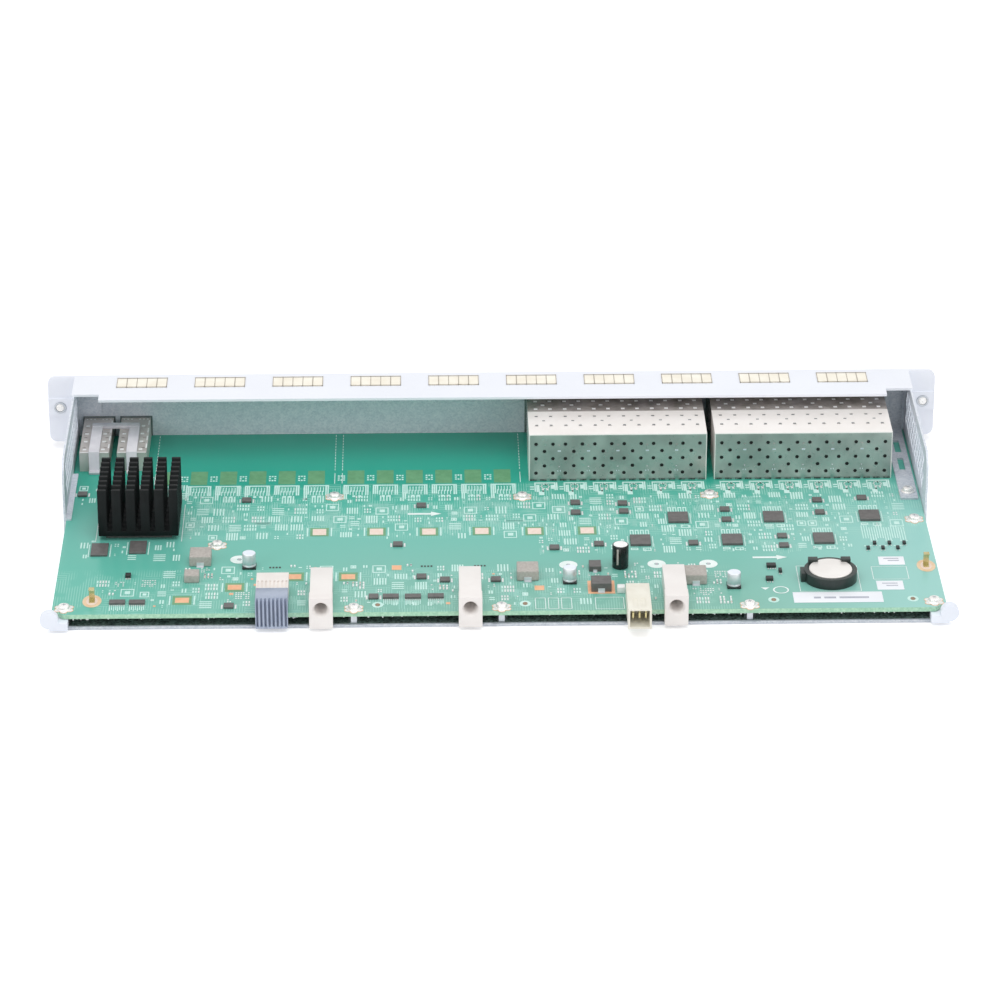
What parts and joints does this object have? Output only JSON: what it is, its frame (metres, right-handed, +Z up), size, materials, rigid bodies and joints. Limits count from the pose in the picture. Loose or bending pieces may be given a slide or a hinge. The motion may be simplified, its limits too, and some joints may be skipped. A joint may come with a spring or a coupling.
{
  "type": "switch line card",
  "caption": "Wide chassis line card with stacked and single transceiver cages behind its front panel, a vented metal tray, rear guide sockets and connectors, and ejector levers.",
  "frame": {"origin": "mid width, at the back face of the front panel, on the plane that the tray rests on", "axes": "+X right seen from the front, +Y to the rear connectors, +Z up"},
  "size_m": [0.44, 0.2287, 0.0393],
  "materials": {
    "panel_coat": "smooth pale bluish white powder coat",
    "lever_coat": "smooth pale bluish grey powder coat",
    "galvanised_sheet": "galvanised sheet, satin with fine spangle",
    "cage_tin_plate": "bright tin plated spring steel",
    "bracket_steel": "zinc plated, satin",
    "screw_steel": "nickel plated, bright",
    "captive_steel": "nickel plated, bright",
    "spring_finger_plate": "tin plated spring strip, satin",
    "lug_plastic": "moulded, satin",
    "solder_mask": "semi gloss solder mask over copper",
    "chip_epoxy": "black moulding compound, satin",
    "heat_sink_anodised": "black anodised extrusion, satin",
    "guide_cast": "off white moulding, satin",
    "connector_beige": "pale beige moulding, satin",
    "connector_lavender": "pale lavender moulding, satin",
    "connector_cream": "cream moulding, satin",
    "port_plastic": "black moulding, satin",
    "contact_gold": "gold flashed spring brass",
    "cell_steel": "bright nickel plated can",
    "holder_plastic": "black moulding, satin",
    "ferrite_block": "pressed grey ferrite, matt",
    "capacitor_can": "bare drawn aluminium, bright",
    "capacitor_sleeve": "black shrunk sleeve, glossy",
    "film_case": "white moulded case",
    "clear_acrylic": "clear moulded acrylic, polished"
  },
  "bodies": {
    "card": {"base_tray": "galvanised_sheet", "board_bracket": "galvanised_sheet", "board_screws": "screw_steel", "board_standoffs": "screw_steel", "cage_stack_1_connectors": "port_plastic", "cage_stack_1_dividers": "cage_tin_plate", "cage_stack_1_rear_cover": "cage_tin_plate", "cage_stack_1_separators": "cage_tin_plate", "cage_stack_1_shell": "cage_tin_plate", "cage_stack_2_connectors": "port_plastic", "cage_stack_2_dividers": "cage_tin_plate", "cage_stack_2_rear_cover": "cage_tin_plate", "cage_stack_2_separators": "cage_tin_plate", "cage_stack_2_shell": "cage_tin_plate", "can_capacitors": "capacitor_can", "captive_ferrule_left": "bracket_steel", "captive_ferrule_right": "bracket_steel", "coin_cell": "cell_steel", "coin_cell_holder": "holder_plastic", "corner_lug_left": "lug_plastic", "corner_lug_right": "lug_plastic", "driver_chips": "chip_epoxy", "emi_finger_strips": "spring_finger_plate", "film_capacitor": "film_case", "filter_choke": "ferrite_block", "front_liner": "galvanised_sheet", "front_panel": "panel_coat", "ground_springs": "contact_gold", "guide_socket_1": "guide_cast", "guide_socket_2": "guide_cast", "guide_socket_3": "guide_cast", "heat_sink": "heat_sink_anodised", "lever_bracket_left": "bracket_steel", "lever_bracket_right": "bracket_steel", "lever_pins": "screw_steel", "light_pipe": "clear_acrylic", "logic_chips": "chip_epoxy", "memory_chips": "chip_epoxy", "port_chips": "chip_epoxy", "power_connector_blades": "contact_gold", "power_connector_housing": "connector_cream", "power_inductors": "ferrite_block", "power_semiconductors": "chip_epoxy", "printed_circuit_board": "solder_mask", "side_wall_left": "galvanised_sheet", "side_wall_right": "galvanised_sheet", "signal_connector_cap": "connector_beige", "signal_connector_comb": "connector_lavender", "single_cage_1": "cage_tin_plate", "single_cage_2": "cage_tin_plate", "single_cage_connectors": "port_plastic", "switch_chip": "chip_epoxy", "tall_capacitor": "capacitor_sleeve"},
    "captive_washer_right": {"captive_washer_right": "bracket_steel"},
    "captive_washer_left": {"captive_washer_left": "bracket_steel"},
    "captive_screw_right": {"captive_screw_right": "captive_steel"},
    "captive_screw_left": {"captive_screw_left": "captive_steel"},
    "lever_right": {"ejector_lever_right": "lever_coat"},
    "lever_left": {"ejector_lever_left": "lever_coat"}
  },
  "joints": [
    {"name": "lever_right_pivot", "type": "hinge", "parent": "card", "child": "lever_right", "pos_m": [0.21325, -0.006, 0.0085], "axis": [1, 0, 0], "range_deg": [0, 65]},
    {"name": "captive_right_slide", "type": "slide", "parent": "card", "child": "captive_washer_right", "axis": [0, 1, 0], "range_m": [0, 0.005]},
    {"name": "captive_right_turn", "type": "hinge", "parent": "captive_washer_right", "child": "captive_screw_right", "pos_m": [0.2142, 0, 0.0228], "axis": [0, 1, 0], "continuous": true},
    {"name": "lever_left_pivot", "type": "hinge", "parent": "card", "child": "lever_left", "pos_m": [-0.21325, -0.006, 0.0085], "axis": [1, 0, 0], "range_deg": [0, 65]},
    {"name": "captive_left_slide", "type": "slide", "parent": "card", "child": "captive_washer_left", "axis": [0, 1, 0], "range_m": [0, 0.005]},
    {"name": "captive_left_turn", "type": "hinge", "parent": "captive_washer_left", "child": "captive_screw_left", "pos_m": [-0.2142, 0, 0.0228], "axis": [0, 1, 0], "continuous": true}
  ]
}
